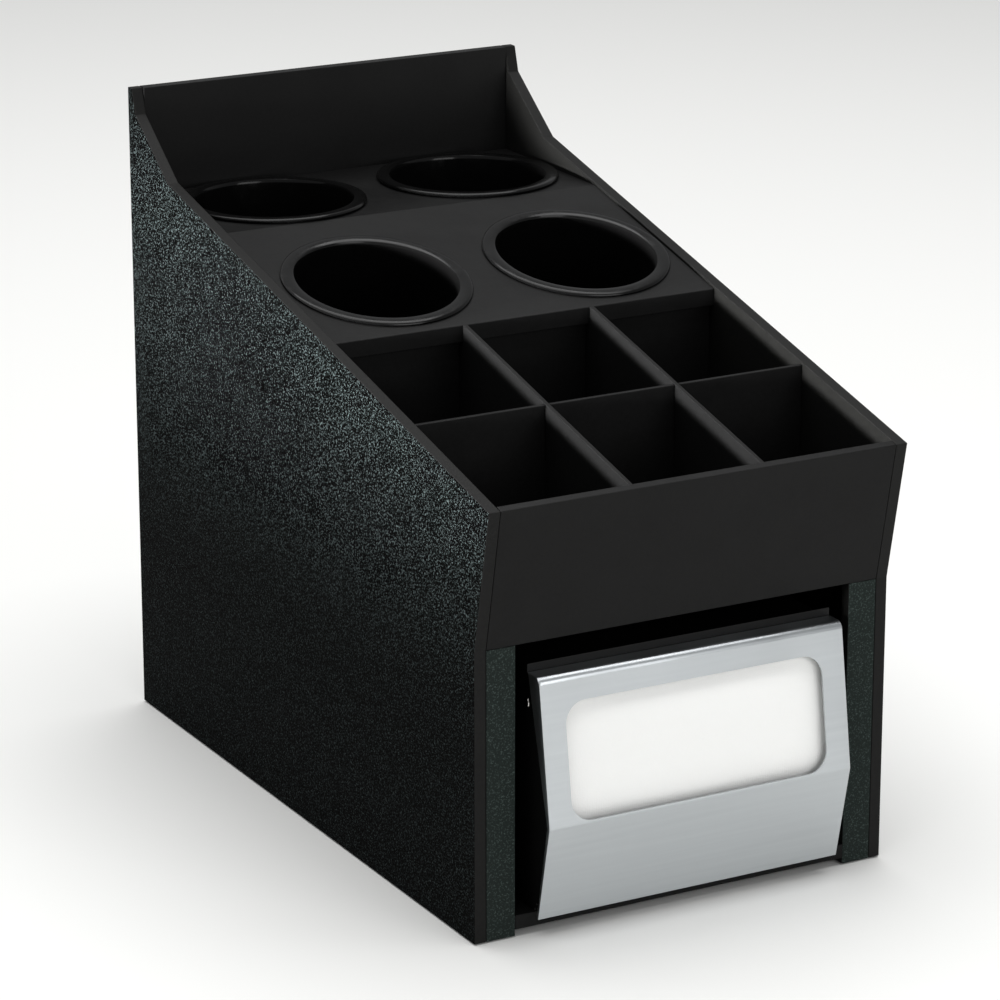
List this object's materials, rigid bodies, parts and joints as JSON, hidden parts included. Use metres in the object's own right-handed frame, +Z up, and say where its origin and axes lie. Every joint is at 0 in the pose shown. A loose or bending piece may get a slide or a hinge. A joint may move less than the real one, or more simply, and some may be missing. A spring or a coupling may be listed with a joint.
{
  "type": "countertop cutlery and napkin organizer",
  "caption": "Black wedge-shaped countertop organizer with cutlery cups, sachet bins and a front-loading spring-fed napkin dispenser behind a bright windowed face.",
  "frame": {"origin": "under the middle of the whole object, on the surface the rubber feet stand on", "axes": "+X to the right seen from the front, +Y to the back, +Z up"},
  "size_m": [0.289, 0.5016, 0.432],
  "materials": {
    "textured_black_plastic": "pebble-textured, slight sheen",
    "smooth_black_plastic": "smooth satin",
    "cup_plastic": "polished moulding",
    "housing_steel": "semi-matte black coating",
    "face_steel": "fine satin polish",
    "bright_steel": "bright",
    "spring_steel": "bright wire",
    "plated_steel": "zinc plated",
    "napkin_paper": "soft uncoated",
    "foot_rubber": "matte"
  },
  "bodies": {
    "cabinet": {"left_side_panel": "textured_black_plastic", "right_side_panel": "textured_black_plastic", "back_panel": "smooth_black_plastic", "base_panel": "smooth_black_plastic", "front_fascia": "smooth_black_plastic", "left_front_stile": "textured_black_plastic", "right_front_stile": "textured_black_plastic", "cutlery_deck": "smooth_black_plastic", "bin_floor": "smooth_black_plastic", "bin_riser": "smooth_black_plastic", "left_bin_divider": "smooth_black_plastic", "right_bin_divider": "smooth_black_plastic", "cross_bin_divider": "smooth_black_plastic", "napkin_housing": "housing_steel", "housing_lid": "housing_steel", "housing_back_plate": "housing_steel", "left_catch_spring": "spring_steel", "right_catch_spring": "spring_steel", "napkin_stack": "napkin_paper", "left_follower_spring": "spring_steel", "right_follower_spring": "spring_steel", "hinge_rivets": "bright_steel", "catch_rivets": "bright_steel", "housing_screws": "plated_steel", "rubber_feet": "foot_rubber"},
    "face": {"napkin_face_plate": "face_steel", "left_hinge_ear": "face_steel", "right_hinge_ear": "face_steel"},
    "follower": {"follower_plate": "plated_steel"},
    "front_left_cup": {"front_left_cutlery_cup": "cup_plastic"},
    "front_right_cup": {"front_right_cutlery_cup": "cup_plastic"},
    "rear_left_cup": {"rear_left_cutlery_cup": "cup_plastic"},
    "rear_right_cup": {"rear_right_cutlery_cup": "cup_plastic"}
  },
  "joints": [
    {"name": "face_hinge", "type": "hinge", "parent": "cabinet", "child": "face", "pos_m": [0, -0.2332, 0.019], "axis": [1, 0, 0], "range_deg": [0, 65]},
    {"name": "follower_slide", "type": "slide", "parent": "cabinet", "child": "follower", "axis": [0, 1, 0], "range_m": [0, 0.1], "stiffness_N_per_m": 50, "springref_m": -0.06, "deforming": ["left_follower_spring", "right_follower_spring"]},
    {"name": "front_left_cup_lift", "type": "slide", "parent": "cabinet", "child": "front_left_cup", "axis": [0, -0.2274, 0.9738], "range_m": [0, 0.16]},
    {"name": "front_right_cup_lift", "type": "slide", "parent": "cabinet", "child": "front_right_cup", "axis": [0, -0.2274, 0.9738], "range_m": [0, 0.16]},
    {"name": "rear_left_cup_lift", "type": "slide", "parent": "cabinet", "child": "rear_left_cup", "axis": [0, 0, 1], "range_m": [0, 0.16]},
    {"name": "rear_right_cup_lift", "type": "slide", "parent": "cabinet", "child": "rear_right_cup", "axis": [0, 0, 1], "range_m": [0, 0.16]}
  ]
}
